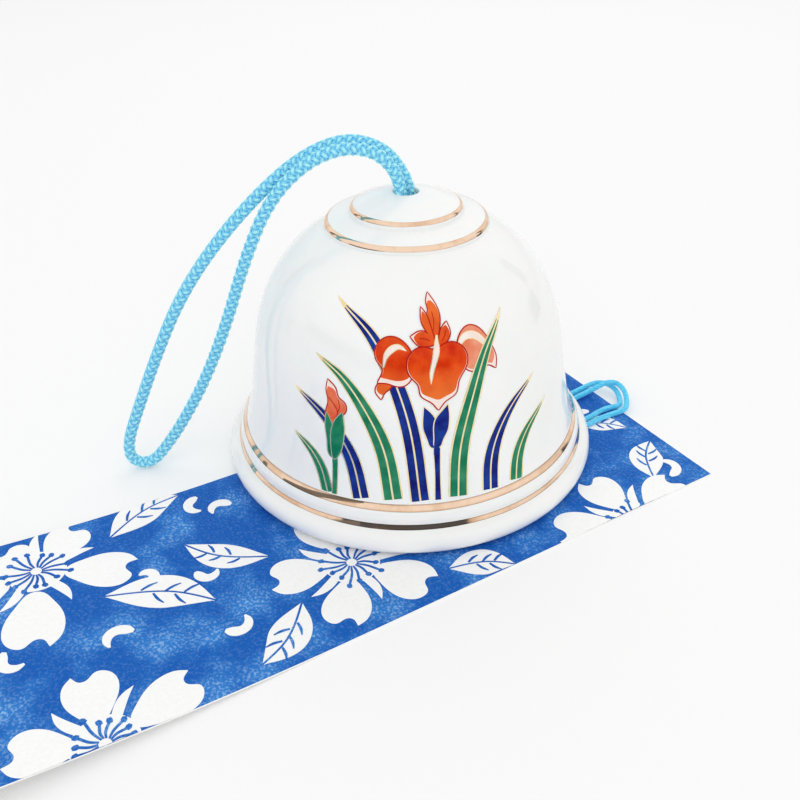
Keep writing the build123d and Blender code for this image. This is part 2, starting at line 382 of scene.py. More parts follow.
wall_line = smooth_line(wall_points, outer_steps, wall_start, wall_end) + (0, bell_base)
foot, widest = (rim_radius - lip_round, 0), (rim_radius, lip_round)
mouth_edge, hole_top = (hole_radius + hole_round, hole_mouth), (hole_radius, hole_mouth - hole_round)
ceiling = (hole_radius, crown_ceiling)
below_wall = np.vstack([
    bulged(foot, widest, -quarter_bulge * lip_round),
    bulged(widest, lip_top, -lip_bulge),
    bulged(lip_top, bead_foot, groove_depth),
    bulged(bead_foot, bead_top, -bead_bulge),
    bulged(bead_top, wall_points[0], groove_depth),
])
above_wall = np.vstack([
    bulged(wall_points[-1], lower_edge)[1:],
    bulged(lower_edge, lower_rim, -step_bulge),
    bulged(lower_rim, upper_foot),
    bulged(upper_foot, upper_edge),
    bulged(upper_edge, upper_rim, -step_bulge),
    bulged(upper_rim, mouth_edge, -crown_bulge),
    bulged(mouth_edge, hole_top, -quarter_bulge * hole_round),
    bulged(hole_top, ceiling),
    smooth_line([ceiling, inside(3), inside(2), inside(1), lip_inner], inner_steps, inner_start, inner_end),
    bulged(lip_inner, foot, -inner_lip_bulge)[1:],
])
bell_profile = glazed(np.vstack([below_wall + (0, bell_base), wall_line, above_wall + (0, bell_base)]))
bell_profile[len(below_wall):len(below_wall) + len(wall_line)] = wall_line
bell = piece("bell", [turned(bell_profile)], porcelain, "bell", "porcelain")
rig.replaces(bell, "bell_shell")


# Gold lines
# Liquid gold brushed round the turning bell and fired: one line on the edge of each crown step,
# and one in each groove above and below the bead, which it fills flat. Their edges waver with the brush.
gold_height = 0.02
gold_sunk = 0.04
gold_columns = 9
brush_waver, brush_tremble = 0.035, 0.025
spare_points = 3
# How strongly painted shade darkens each gold line's edges
gold_edge_shade = (0.7, 0.7, 1.0, 1.0)
# Start and end on the profile, what is spare at each, and how far the line fills a groove
gold_lines = [
    (upper_edge, upper_rim, -0.16, -0.2, 0),
    (lower_edge, lower_rim, -0.02, -0.1, 0),
    (bead_top, wall_points[0], -0.05, 0.05, 0.6),
    (lip_top, bead_foot, -0.2, 0.08, 0.95),
]

# Bright gold is a thin mirror, pinkish over the glaze and a little dull where it is worn. Its colour also holds
# painted shade: brown towards the edges of each line, in place of the darker reflections there.
bright_gold, tree, shader = finish_called("fired bright gold", Metallic=1.0)
worn = mottled(tree, shader, 5, 0.45, 0.7, ("#F4D6BC", "#E2B996"))
edge = add(tree, "ShaderNodeAttribute", attribute_name="edge").outputs["Fac"]
painted_edge_shade = add(tree, "ShaderNodeMath", {0: edge, 1: 4.0}, operation="POWER").outputs[0]
coloured(tree, shader, painted_edge_shade, "#A5805F")
rough = add(tree, "ShaderNodeMapRange", {"Value": worn, "To Min": 0.05, "To Max": 0.14})
tree.links.new(rough.outputs[0], shader.inputs["Roughness"])


def lengths_along(line):
    """The length of a line from its start to each of its points."""
    return np.concatenate([[0], np.cumsum(np.linalg.norm(np.diff(line, axis=0), axis=1))])


def gold_line(low, high, spare_below, spare_above, fill, number):
    """The skin of a gold line along the profile from low to high, wider by what is spare at each side.

    Its face follows the profile, or is straight across from edge to edge by the share of fill."""
    reach = np.linalg.norm(bell_profile - (0, bell_base) - low, axis=1).argmin()
    until = np.linalg.norm(bell_profile - (0, bell_base) - high, axis=1).argmin()
    line = bell_profile[reach - spare_points:until + spare_points + 1]
    lengths = lengths_along(line)
    first = lengths[spare_points] - spare_below
    last = lengths[-spare_points - 1] + spare_above
    along = unit(line[-1] - line[0])
    out = np.array((along[1], -along[0]))
    loops = []
    for a in np.linspace(0, 2 * math.pi, turning_steps, endpoint=False):
        waver = brush_waver * math.sin(3 * a + number) + brush_tremble * math.sin(8 * a + 2 * number)
        upper_waver = brush_waver * math.sin(5 * a + 3 * number)
        shares = np.linspace(first + waver, last + upper_waver, gold_columns)
        middle = np.column_stack([np.interp(shares, lengths, line[:, k]) for k in (0, 1)])
        straight = np.linspace(middle[0], middle[-1], gold_columns)
        top = middle + fill * (straight - middle) + gold_height * out
        underside = middle[::-1] - gold_sunk * out
        loops.append([(r * math.cos(a), r * math.sin(a), z) for r, z in np.vstack([top, underside])])
    return skin(loops, True)


gold = piece("gold_lines", [gold_line(*line, number) for number, line in enumerate(gold_lines)],
             bright_gold, "bell", "porcelain")
# Painted shade: each gold line browns towards its edges, less on the two crown rings than in the grooves.
from_middle = np.tile(np.abs(np.linspace(-1, 1, gold_columns)), 2 * turning_steps)
edges = gold.data.attributes.new("edge", "FLOAT", "POINT")
edges.data.foreach_set("value", np.concatenate([from_middle * share for share in gold_edge_shade]))


# Painted irises
# Overglaze enamel: gold is laid first as the outline, and colour is floated inside it. Blades fan
# out of the gold line, with one open iris and one bud between them, and again on the far side.
wall_up = lengths_along(wall_line)
wall_margin = 0.3
enamel_sunk = -0.03
enamel_first, enamel_coat = 0.02, 0.012
stroke_steps, thinnest = 10, 0.02
fade_start, fade_end = 7, 0.1
innermost_ring = 0.005
blade_level, blade_stop, rib_gap = 18, 0.92, 0.16
gold_edge, sepal_edge, stripe_edge, stem_edge = 0.25, 0.2, 0.17, 0.15
red_edge, vein_half, wash_power = 0.24, 0.08, 5


def on_wall(angle, up, lift):
    """A place on the wall: degrees round from the front, millimetres up the wall, and off it."""
    up = min(max(up, wall_margin), wall_up[-1] - wall_margin)
    place = np.array([np.interp(up, wall_up, wall_line[:, k]) for k in (0, 1)])
    ahead = np.array([np.interp(up + wall_margin, wall_up, wall_line[:, k]) for k in (0, 1)])
    along = unit(ahead - place)
    radius, height = place + lift * np.array((along[1], -along[0]))
    turn = math.radians(angle)
    return radius * math.sin(turn), -radius * math.cos(turn), height


def wall_patch(angle, up):
    """A way to place flat drawings on the wall: millimetres right and up from a spot there."""
    degrees = math.degrees(1 / np.interp(up, wall_up, wall_line[:, 0]))
    return lambda right, above, lift: on_wall(angle + right * degrees, up + above, lift)


def brushed(points, low=-1.0, high=1.0, grow=0.0, gap=0.0, stop=1.0, columns=6):
    """A grid of places for a stroke whose points give right, up and half width.

    It runs from low to high across, as shares of the half width, or leaves gap clear at the middle.
    What it grows by fades towards the far end, so that the stroke keeps its point."""
    line = smooth_line(points, stroke_steps)
    line = line[:max(2, round(len(line) * stop))]
    along = np.gradient(line[:, :2], axis=0)
    along /= np.linalg.norm(along, axis=1)[:, None]
    fade = np.minimum(1, np.linspace(fade_start, fade_end, len(line)))
    half = np.maximum(line[:, 2] + grow * fade, thinnest)
    grid = []
    for (right, up, _), (along_right, along_up), width in zip(line, along, half):
        near, far = low * width, high * width
        if gap and low == 0:
            near, far = gap, max(far, gap + thinnest)
        if gap and high == 0:
            near, far = min(near, -gap - thinnest), -gap
        offsets = np.linspace(near, far, columns + 1)
        grid.append([(right - along_up * w, up + along_right * w) for w in offsets])
    return grid


def slab(grid, place, lift, sink):
    """The closed skin of a thin layer over a grid of places."""
    loops = []
    for row in grid:
        top = [place(*spot, lift) for spot in row]
        loops.append(top + [place(*spot, sink) for spot in reversed(row)])
    return skin(loops, False)


def outlined(points, grow=0.0, steps=6):
    """A closed outline through points, anticlockwise, whose first point is a sharp tip."""
    points = np.array(points, float)
    ahead = np.roll(points, -1, 0)
    if np.sum(points[:, 0] * ahead[:, 1] - ahead[:, 0] * points[:, 1]) < 0:
        points = np.vstack([points[:1], points[:0:-1]])
    line = smooth_line([*points, points[0]], steps)[:-1]
    along = np.roll(line, -1, 0) - np.roll(line, 1, 0)
    out = np.column_stack([along[:, 1], -along[:, 0]]) / np.linalg.norm(along, axis=1)[:, None]
    return line + out * np.reshape(grow, (-1, 1))


def filled(outline, place, lift, sink, rings=6):
    """The closed skin of a thin layer inside a closed outline."""
    centre = outline.mean(axis=0)
    loops = []
    for spot in outline:
        inward = [centre + (spot - centre) * share for share in np.linspace(1, innermost_ring, rings)]
        top = [place(*point, lift) for point in inward]
        loops.append(top + [place(*point, sink) for point in reversed(inward)])
    return skin(loops, True)


paint = {colour: [] for colour in ("gold", "blue", "green", "red", "pale", "orange", "salmon", "coral")}


def coat(level):
    """The height of a layer of enamel over the glaze."""
    return enamel_first + enamel_coat * level


def stroke(colour, points, place, level, **shape):
    """One stroke of enamel. A higher level lies over a lower one."""
    paint[colour].append(slab(brushed(points, **shape), place, coat(level), enamel_sunk))


def spot(colour, outline, place, level):
    """One filled shape of enamel."""
    paint[colour].append(filled(outline, place, coat(level), enamel_sunk))


def blade(colour, points, level):
    """A leaf blade: gold beneath, and two halves of colour with a gold rib left between them."""
    angle, up = points[0][:2]
    degree = math.radians(1) * np.interp(blade_level, wall_up, wall_line[:, 0])
    drawn = [((a - angle) * degree, u - up, half) for a, u, half in points]

    def place(right, above, lift):
        return on_wall(angle + right / degree, up + above, lift)

    stroke("gold", drawn, place, level, grow=gold_edge)
    stroke(colour, drawn, place, level + 1, low=0.0, gap=rib_gap, stop=blade_stop)
    stroke(colour, drawn, place, level + 1, high=0.0, gap=rib_gap, stop=blade_stop)


def sepal(colour, points, place, level):
    """A short green or blue leaf round a flower's foot, edged with gold."""
    spot("gold", outlined(points, sepal_edge), place, level)
    spot(colour, outlined(points), place, level + 1)


def petal(points, root, place, level, veins=(), colour="orange", wash=0.14):
    """An iris petal: red edge, pale margin that widens away from its root, coloured body and veins."""
    edge = outlined(points)
    away = np.linalg.norm(edge - root, axis=1, keepdims=True)
    body = edge + (np.array(root) - edge) * (wash * (away / away.max())**wash_power)
    spot("red", outlined(points, red_edge), place, level)
    spot("pale", edge, place, level + 1)
    spot(colour, body, place, level + 2)
    for vein in veins:
        stroke("red", [(x, y, vein_half) for x, y in vein], place, level + 3, columns=1)


def edged(colour, points, place, level, edge):
    """A stroke of enamel edged with gold, such as a stem or the pale stripe on a petal."""
    stroke("gold", points, place, level, grow=edge)
    stroke(colour, points, place, level + 1)


def iris_clump(front):
    """The whole picture, with its middle at front degrees round the bell."""
    def round_from(points):
        return [(angle + front, up, half) for angle, up, half in points]

    blades = [
        ("blue", [(3.1, 0.7, 1.45), (0.9, 13, 1.5), (-5, 25, 1.4), (-14.8, 33, 1), (-31.8, 38.6, 0.03)]),
        ("green", [(-5.2, 1, 1.5), (-7.8, 10, 1.5), (-14.8, 19, 1.25), (-24.2, 24.8, 0.7),
                   (-34.5, 27.6, 0.03)]),
        ("blue", [(-15.2, 0.6, 1.4), (-18.6, 8, 1.35), (-25, 13.8, 1.1), (-33, 17.4, 0.7),
                  (-42.2, 19.9, 0.03)]),
        ("green", [(-26.4, 0.3, 0.95), (-29.6, 4.8, 1.0), (-34.8, 8.2, 0.7), (-41.8, 10.4, 0.03)]),
        ("blue", [(25.7, 0.6, 1.4), (27, 6.5, 1.45), (31, 12.4, 1.2), (38, 17, 0.75), (47.9, 20.4, 0.03)]),
        ("green", [(35.4, 0.5, 1.25), (37.2, 4.6, 1.3), (42.5, 9.4, 0.95), (54, 13.8, 0.03)]),
    ]
    for colour, points in blades:
        blade(colour, round_from(points), 0)

    # Bud on its stem
    bud = wall_patch(front - 24.9, 14)
    edged("green", [(0.5, -13.7, 0.4), (0.3, -9, 0.42), (0.1, -5.5, 0.5)], bud, 2, stem_edge)
    petal([(-1.9, 9.3), (-0.1, 7.9), (0.5, 6.4), (1.9, 5.4), (2.1, 3.9), (1.2, 2.6), (0.9, 0.6),
           (-0.4, -0.8), (-1.6, 0.6), (-1.9, 3.2), (-1.5, 5.4), (-2.0, 7.2)], (-0.4, 0.6), bud, 4,
          [[(-1.5, 6.0), (-0.4, 5.0), (0.5, 3.4), (0.0, 1.2)], [(0.6, 5.9), (0.9, 4.6), (0.6, 3.4)]],
          "coral")
    sepal("green", [(-1.8, 2.9), (-2.0, 0.2), (-1.5, -3.0), (-0.4, -6.2), (0.2, -6.2), (-0.2, -2.6),
                    (-0.7, 0.8)], bud, 8)
    sepal("green", [(1.5, 3.6), (0.2, 1.9), (-0.7, -0.9), (-0.6, -4.0), (0.1, -6.4), (0.9, -5.4),
                    (1.7, -2.6), (1.9, 0.4)], bud, 10)

    # Open flower on its stem: the side falls, the standards, the front fall, then the spathe
    flower = wall_patch(front + 9.1, 27.5)
    stem = wall_patch(front + 8.5, 12)
    edged("blue", [(0, -11.3, 0.5), (0.1, -6, 0.45), (0.1, -0.4, 0.6)], stem, 2, stem_edge)
    petal([(-9.4, -6.2), (-8.9, -5.0), (-8.0, -4.1), (-7.6, -3.2), (-9.2, -3.0), (-10.2, -3.9),
           (-10.3, -4.9)], (-8.4, -3.3), flower, 4, wash=0.3)
    petal([(-10.0, -3.1), (-8.4, -3.1), (-6.6, -3.6), (-5.2, -3.3), (-4.3, -2.2), (-3.9, 0), (-4.2, 2.3),
           (-5.6, 4.2), (-7.7, 5.1), (-9.8, 4.4), (-10.7, 2.6), (-10.2, 0.7), (-9.2, -0.5), (-9.4, -1.8)],
          (-6.8, 4.0), flower, 7)
    edged("pale", [(-9.1, -0.3, 0.04), (-8.8, 1.5, 0.3), (-7.8, 2.9, 0.5), (-6.4, 3.4, 0.3),
                   (-5.0, 2.7, 0.03)], flower, 11, stripe_edge)
    petal([(11.3, -2.7), (10.3, -1.9), (9.2, -1.7), (7.6, -2.2), (6.0, -1.8), (5.0, -0.2), (4.6, 1.8),
           (4.8, 3.8), (5.8, 5.2), (7.2, 5.9), (8.7, 5.6), (9.9, 4.5), (10.7, 2.9), (11.3, 1.2),
           (11.7, -0.8)], (7.2, 4.6), flower, 4, colour="salmon")
    edged("pale", [(4.7, 2.9, 0.2), (6.0, 4.1, 0.5), (7.8, 4.2, 0.55), (9.4, 3.0, 0.45), (10.8, 1.0, 0.1)],
          flower, 8, stripe_edge)
    petal([(-0.1, 12.9), (1.0, 11.2), (1.8, 8.8), (1.4, 6.4), (0.3, 4.2), (-0.9, 6.2), (-1.0, 8.4),
           (-0.4, 9.8), (-0.6, 11.2)], (0.3, 4.8), flower, 8, [[(0.3, 9.4), (0.5, 8.0), (0.3, 6.0)]],
          wash=0.18)
    petal([(-1.9, 10.3), (-0.9, 8.8), (-0.3, 6.8), (0.1, 4.6), (-1.2, 6.2), (-2.0, 8.2)], (-0.2, 5.2),
          flower, 12)
    petal([(-4.2, 5.2), (-2.6, 6.0), (-1.0, 5.6), (0.3, 3.9), (-1.4, 3.4), (-3.0, 3.8)], (-0.2, 4.1),
          flower, 12, [[(-2.6, 4.8), (-1.6, 4.7), (-0.6, 4.3)]])
    petal([(3.0, 7.3), (3.4, 5.6), (2.6, 4.0), (1.0, 3.1), (1.3, 5.0), (2.0, 6.4)], (1.2, 3.5),
          flower, 12, [[(2.6, 5.8), (2.3, 5.0), (1.7, 4.1)]])
    petal([(0.2, -8.3), (1.4, -6.8), (3.2, -5.6), (3.9, -3.4), (5.4, -1.2), (5.9, 1.2), (4.4, 3.3),
           (1.9, 3.4), (0.2, 2.7), (-2.0, 3.2), (-4.2, 2.2), (-4.9, 0.2), (-4.2, -2.0), (-3.0, -3.5),
           (-2.6, -5.4), (-0.9, -6.8)], (0.4, 2.4), flower, 16, wash=0.18)
    edged("pale", [(0.75, 5.2, 0.04), (0.6, 4.2, 0.2), (0.5, 3.0, 0.42), (0.1, 1.2, 0.42),
                   (-0.7, -1.4, 0.25), (-0.9, -3.4, 0.03)], flower, 20, stripe_edge)
    sepal("blue", [(-2.1, 7.8), (-2.3, 5.6), (-2.25, 3.3), (-1.6, 1.2), (-0.7, -0.5), (0.1, -0.4),
                   (0.2, 2.5), (0.0, 5.0), (-0.9, 6.6)], stem, 4)
    sepal("blue", [(2.4, 7.9), (1.2, 6.7), (0.0, 5.2), (-0.35, 3.4), (-0.35, 1.0), (-0.1, -0.3),
                   (0.5, -0.4), (1.2, 0.8), (2.1, 2.6), (2.5, 4.6), (2.55, 6.2)], stem, 6)
    stroke("blue", [(0, -2, 0.5), (0.05, -0.8, 0.5), (0.1, 0.6, 0.5)], stem, 8)
    last_blade = [(14.8, 0.9, 1.45), (16.2, 10, 1.5), (21, 20, 1.3), (28.6, 28.6, 0.8), (39.8, 34.8, 0.03)]
    blade("green", round_from(last_blade), 12)


iris_clump(0)
iris_clump(180)

# Gold drawn with a fine brush is yellower and duller than the broad lines.
drawn_gold, tree, shader = finish_called("fired gold outline", Metallic=1.0, Roughness=0.25)
mottled(tree, shader, 3, 0.4, 0.7, ("#FBEBC0", "#F0D79C"))
piece("iris_gold", paint["gold"], drawn_gold, "bell", "porcelain")

# Enamels are glassy colours, deeper where they pooled and thinner where the brush dragged.
enamels = [
    ("blue", "cobalt blue enamel", "#04106C", "#153C98"),
    ("green", "copper green enamel", "#0E7654", "#36906C"),
    ("red", "iron red enamel", "#AC1204", "#C02208"),
    ("pale", "pale pink enamel", "#FBF1EA", "#F7E0D4"),
    ("salmon", "thin red enamel wash", "#E9805E", "#F2A284"),
    ("coral", "red enamel wash", "#DE4C2A", "#F08860"),
]
for colour, name, deep, thin in enamels:
    enamel, tree, shader = finish_called(name, Roughness=0.15, IOR=1.5, Specular_IOR_Level=0.1)
    mottled(tree, shader, 3.2, 0.35, 0.68, (deep, thin))
    piece(f"iris_{colour}", paint[colour], enamel, "bell", "porcelain")

# Orange enamel is thinner, and so paler, towards the foot of the flower and a little towards its tip.
orange_foot, orange_low, orange_high, orange_tip = 26, 37, 40, 46
orange, tree, shader = finish_called("orange enamel", Roughness=0.15, IOR=1.5, Specular_IOR_Level=0.1)
mottled(tree, shader, 3.0, 0.3, 0.7, ("#CE2602", "#EC5418"))
place = add(tree, "ShaderNodeTexCoord").outputs["Object"]
height = add(tree, "ShaderNodeSeparateXYZ", {0: place}).outputs["Z"]
lower = add(tree, "ShaderNodeMapRange", {
    "Value": height, "From Min": orange_low * MM, "From Max": orange_foot * MM})
upper = add(tree, "ShaderNodeMapRange", {
    "Value": height, "From Min": orange_high * MM, "From Max": orange_tip * MM, "To Max": 0.45})
thinner = add(tree, "ShaderNodeMath", {0: lower.outputs[0], 1: upper.outputs[0]}, operation="MAXIMUM")
coloured(tree, shader, thinner.outputs[0], "#F8903E")
piece("iris_orange", paint["orange"], orange, "bell", "porcelain")


# Hanging cord
# Sky-blue rayon, braided round from eight strands of three yarns, doubled through the crown's hole.
# The loop flops over to the table, which its fold touches, and both ends go into the knot below.
cord_diameter = 2.4
strand_gap = 0.14
crown_exit = 57.6
strand_rounding = 0.6
yarn_sides, core_sides = 5, 8
loop_bearing = math.radians(189.8)
strand_turn = math.radians(41.5)
knot_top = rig.box("hanging_knot")[1].z / MM
beside = (cord_diameter + strand_gap) / 2
strand = Vector((math.cos(strand_turn), math.sin(strand_turn), 0)) * beside
loop_bend = [
    (2.2, 0.87, 62.8), (6.2, 1, 66.7), (12.2, 1, 67.7), (19.4, 0.98, 65.0), (26.4, 0.87, 58.2),
    (31.8, 0.63, 47.2), (37.2, 0.47, 33.2), (43.0, 0.31, 20.9), (49.0, 0.16, 11.1), (53.8, 0.08, 4.7),
    (56.8, 0, 1.45), (59.8, 0, 1.3), (61.6, 0, 3.5), (61.0, -0.08, 7.9),
    (57.4, -0.16, 15.8), (52.4, -0.31, 26.4), (45.8, -0.47, 39.0), (37.4, -0.63, 50.0),
    (27.6, -0.87, 59.6), (18.8, -0.98, 66.1), (10.6, -1, 68.6), (3.8, -0.98, 66.2), (0.3, -0.87, 61.4),
]
loop_route = [strand + Vector((0, 0, height)) for height in (knot_top, crown_exit)]
loop_route += [Vector((reach, share * beside, height)) for reach, share, height in loop_bend]
loop_route += [Vector((0, 0, height)) - strand for height in (crown_exit, knot_top)]
loop_route = [Matrix.Rotation(loop_bearing, 3, "Z") @ place for place in loop_route]


def cord_tree():
    """Geometry nodes for a cord: strands wound round a route, crossing over and under in a braid."""
    tree = bpy.data.node_groups.new("wound cord", "GeometryNodeTree")
    tree.interface.new_socket("Cord", in_out="OUTPUT", socket_type="NodeSocketGeometry")
    sockets = [
        ("Route", "Geometry"), ("Strands", "Int"), ("Yarns", "Int"), ("Braided", "Float"),
        ("Winding radius", "Float"), ("Weave depth", "Float"), ("Yarn radius", "Float"),
        ("Yarn spacing", "Float"), ("Pitch", "Float"), ("Step", "Float"), ("Finish", "Material"),
    ]
    for name, kind in sockets:
        tree.interface.new_socket(name, in_out="INPUT", socket_type="NodeSocket" + kind)
    given = tree.nodes.new("NodeGroupInput").outputs
    route = add(tree, "GeometryNodeResampleCurve", {
        "Curve": given["Route"], "Length": given["Step"]}, mode="LENGTH")
    count = add(tree, "ShaderNodeMath", {0: given["Strands"], 1: given["Yarns"]}, operation="MULTIPLY")
    copies = add(tree, "GeometryNodeDuplicateElements", {
        "Geometry": route.outputs[0], "Amount": count.outputs[0]}, domain="SPLINE")

    # Each step works out one value from those before it, at every point of every yarn
    known = {socket.name: socket for socket in given}
    known["copy"] = copies.outputs[1]
    known["length"] = add(tree, "GeometryNodeSplineParameter").outputs["Length"]
    steps = [
        ("yarns before", "DIVIDE", "copy", "Yarns"),
        ("strand", "FLOOR", "yarns before", 0.0),
        ("yarn", "MODULO", "copy", "Yarns"),
        ("odd strand", "MODULO", "strand", 2.0),
        ("odd", "MULTIPLY", "odd strand", "Braided"),
        ("turned back", "MULTIPLY", "odd", 2.0),
        ("way", "SUBTRACT", 1.0, "turned back"),
        ("pitches", "DIVIDE", "length", "Pitch"),
        ("turns", "MULTIPLY", "pitches", 2 * math.pi),
        ("strand pair", "SUBTRACT", "strand", "odd"),
        ("strand share", "DIVIDE", "strand pair", "Strands"),
        ("strand turn", "MULTIPLY", "strand share", 2 * math.pi),
        ("last yarn", "SUBTRACT", "Yarns", 1.0),
        ("middle yarn", "MULTIPLY", "last yarn", 0.5),
        ("off middle", "SUBTRACT", "yarn", "middle yarn"),
        ("sideways", "MULTIPLY", "off middle", "Yarn spacing"),
        ("yarn turn", "DIVIDE", "sideways", "Winding radius"),
        ("first turn", "ADD", "strand turn", "yarn turn"),
        ("wound turns", "MULTIPLY", "turns", "way"),
        ("angle", "ADD", "wound turns", "first turn"),
        ("half the strands", "MULTIPLY", "Strands", 0.5),
        ("crossings", "MULTIPLY", "turns", "half the strands"),
        ("wave", "COSINE", "crossings", 0.0),
        ("over and under", "MULTIPLY", "wave", "way"),
        ("off middle squared", "MULTIPLY", "off middle", "off middle"),
        ("roundness", "MULTIPLY", "off middle squared", strand_rounding),
        ("rise", "SUBTRACT", "over and under", "roundness"),
        ("lift", "MULTIPLY", "rise", "Weave depth"),
        ("reach", "ADD", "Winding radius", "lift"),
        ("cosine", "COSINE", "angle", 0.0),
        ("sine", "SINE", "angle", 0.0),
        ("along normal", "MULTIPLY", "cosine", "reach"),
        ("along side", "MULTIPLY", "sine", "reach"),
    ]
    for result, operation, first, second in steps:
        inputs = {0: known.get(first, first), 1: known.get(second, second)}
        known[result] = add(tree, "ShaderNodeMath", inputs, operation=operation).outputs[0]

    normal = add(tree, "GeometryNodeInputNormal").outputs[0]
    tangent = add(tree, "GeometryNodeInputTangent").outputs[0]
    side = add(tree, "ShaderNodeVectorMath", {0: tangent, 1: normal}, operation="CROSS_PRODUCT").outputs[0]
    parts = []
    for direction, size in ((normal, "along normal"), (side, "along side")):
        part = add(tree, "ShaderNodeVectorMath", {0: direction, "Scale": known[size]}, operation="SCALE")
        parts.append(part.outputs[0])
    offset = add(tree, "ShaderNodeVectorMath", {0: parts[0], 1: parts[1]}, operation="ADD").outputs[0]
    # The rise is stored for the braid's finish, which paints highlights where it is high and shade where it is low.
    marked = add(tree, "GeometryNodeStoreNamedAttribute", {
        "Geometry": copies.outputs[0], "Name": "rise", "Value": known["rise"]},
        data_type="FLOAT", domain="POINT")
    wound = add(tree, "GeometryNodeSetPosition", {"Geometry": marked.outputs[0], "Offset": offset})
    both = add(tree, "GeometryNodeJoinGeometry")
    for line, radius, sides in ((route, "Winding radius", core_sides), (wound, "Yarn radius", yarn_sides)):
        ring = add(tree, "GeometryNodeCurvePrimitiveCircle", {"Resolution": sides, "Radius": given[radius]})
        tube = add(tree, "GeometryNodeCurveToMesh", {
            "Curve": line.outputs[0], "Profile Curve": ring.outputs[0], "Fill Caps": True})
        tree.links.new(tube.outputs[0], both.inputs[0])
    real = add(tree, "GeometryNodeRealizeInstances", {0: both.outputs[0]})
    dressed = add(tree, "GeometryNodeSetMaterial", {
        "Geometry": real.outputs[0], "Material": given["Finish"]})
    add(tree, "NodeGroupOutput", {0: dressed.outputs[0]})
    return tree


wound_cord = cord_tree()


def route_line(name, route, closed=False):
    """A smooth line with the route's points, in millimetres, as its control points."""
    data = bpy.data.curves.new(name, "CURVE")
    data.dimensions = "3D"
    line = data.splines.new("NURBS")
    line.points.add(len(route) - 1)
    for point, place in zip(line.points, route):
        point.co = (*(Vector(place) * MM), 1)
    line.order_u = 3
    line.use_endpoint_u = not closed
    line.use_cyclic_u = closed
    line.resolution_u = 10
    made = bpy.data.objects.new(name, data)
    bpy.context.scene.collection.objects.link(made)
    return made


def evaluated_mesh(made):
    """A plain mesh of an object as its modifiers leave it."""
    return bpy.data.meshes.new_from_object(made.evaluated_get(bpy.context.evaluated_depsgraph_get()))


def cord(name, route, sizes, finish, body, slot, closed=False):
    """A cord wound along its route: the finished object, and the points of its line."""
    line = route_line(name + "_line", route, closed)
    path = [vertex.co.copy() for vertex in evaluated_mesh(line).vertices]
    winding = line.modifiers.new("winding", "NODES")
    winding.node_group = wound_cord
    for socket in wound_cord.interface.items_tree:
        if socket.name in sizes:
            winding[socket.identifier] = sizes[socket.name]
        elif socket.name == "Finish":
            winding[socket.identifier] = finish
    mesh = evaluated_mesh(line)
    bpy.data.objects.remove(line)
    return placed(name, mesh, finish, body, slot), path


# Rayon braid has a soft sheen. Its colour holds painted light: a painted highlight on the rise of each stitch and
# painted shade, deeper blue, where it dips.
braid, tree, shader = finish_called("sky-blue rayon braid", Roughness=0.4, IOR=1.47, Sheen_Weight=0.2)
rise = add(tree, "ShaderNodeAttribute", attribute_name="rise").outputs["Fac"]
painted_stitch_light = add(tree, "ShaderNodeMapRange", {"Value": rise, "From Min": -0.8, "From Max": 0.9})
coloured(tree, shader, painted_stitch_light.outputs[0], "#B8FCFF", "#18AEEA")
braid_sizes = {
    "Strands": 8, "Yarns": 3, "Braided": 1.0, "Winding radius": 0.97 * MM, "Weave depth": 0.17 * MM,
    "Yarn radius": 0.2 * MM, "Yarn spacing": 0.3 * MM, "Pitch": 7.2 * MM, "Step": 0.33 * MM,
}
hanging_loop, loop_path = cord(
    "hanging_loop_braid", loop_route, braid_sizes, braid, "bell", "braided_cord")
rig.replaces(hanging_loop, "hanging_loop")
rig.cord(hanging_loop, exit=loop_path[0], length=0.2177, diameter=cord_diameter * MM, far_end="object",
        stiffness="medium", lay="loose", path=loop_path)


# Hanging knot
# Both ends of the braid are tied together in an overhand knot, too big for the crown's hole.
knot_points = 36
knot_middle, knot_wave = 0.66, 0.34
knot_step = 0.4


def overhand(low, high, cord_radius):
    """The closed route of an overhand knot that fills a node's box."""
    centre = (low + high) / (2 * MM)
    spread = (high.x - low.x) / (2 * MM) - cord_radius
    rise = (high.z - low.z) / (2 * MM) - cord_radius
    route = []
    for turn in np.linspace(0, 2 * math.pi, knot_points, endpoint=False):
        reach = spread * (knot_middle + knot_wave * math.cos(3 * turn))
        right, back = reach * math.cos(2 * turn), reach * math.sin(2 * turn)
        route.append(centre + Vector((right, back, rise * math.sin(3 * turn))))
    return route


def tied(name, node, diameter, sizes, finish, body, slot):
    """A knot of cord in the place of a node."""
    made, _ = cord(name, overhand(*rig.box(node), diameter / 2), sizes, finish, body, slot, closed=True)
    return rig.replaces(made, node)


knot_sizes = {**braid_sizes, "Step": knot_step * MM}
tied("hanging_knot_tied", "hanging_knot", cord_diameter, knot_sizes, braid, "bell", "braided_cord")


# Thin cord
# Smooth cyan rayon twist, doubled: hitched to the hanging knot, down through the clapper to its stop
# knot, and on to the strip. The clapper swings on the stretch between hitch and stop knot.
thin_diameter = 1.2
thin_spacing = 1.3
straight_points = 8

# Rayon twist is smooth and bright, a little uneven in its dye.
thin_twist, tree, shader = finish_called(
    "glossy cyan rayon twist", Roughness=0.28, IOR=1.5, Sheen_Weight=0.15)
mottled(tree, shader, 0.8, 0.3, 0.7, ("#48CDF6", "#6CDFFF"))
thin_sizes = {
    "Strands": 6, "Yarns": 1, "Braided": 0.0, "Winding radius": 0.37 * MM, "Weave depth": 0.0,
    "Yarn radius": 0.28 * MM, "Yarn spacing": 0.0, "Pitch": 6 * MM, "Step": 0.3 * MM,
}
tied("cord_hitch_tied", "cord_hitch", thin_diameter, thin_sizes, thin_twist, "hanger", "thin_cord")
tied("clapper_knot_tied", "clapper_knot", thin_diameter, thin_sizes, thin_twist, "clapper", "thin_cord")


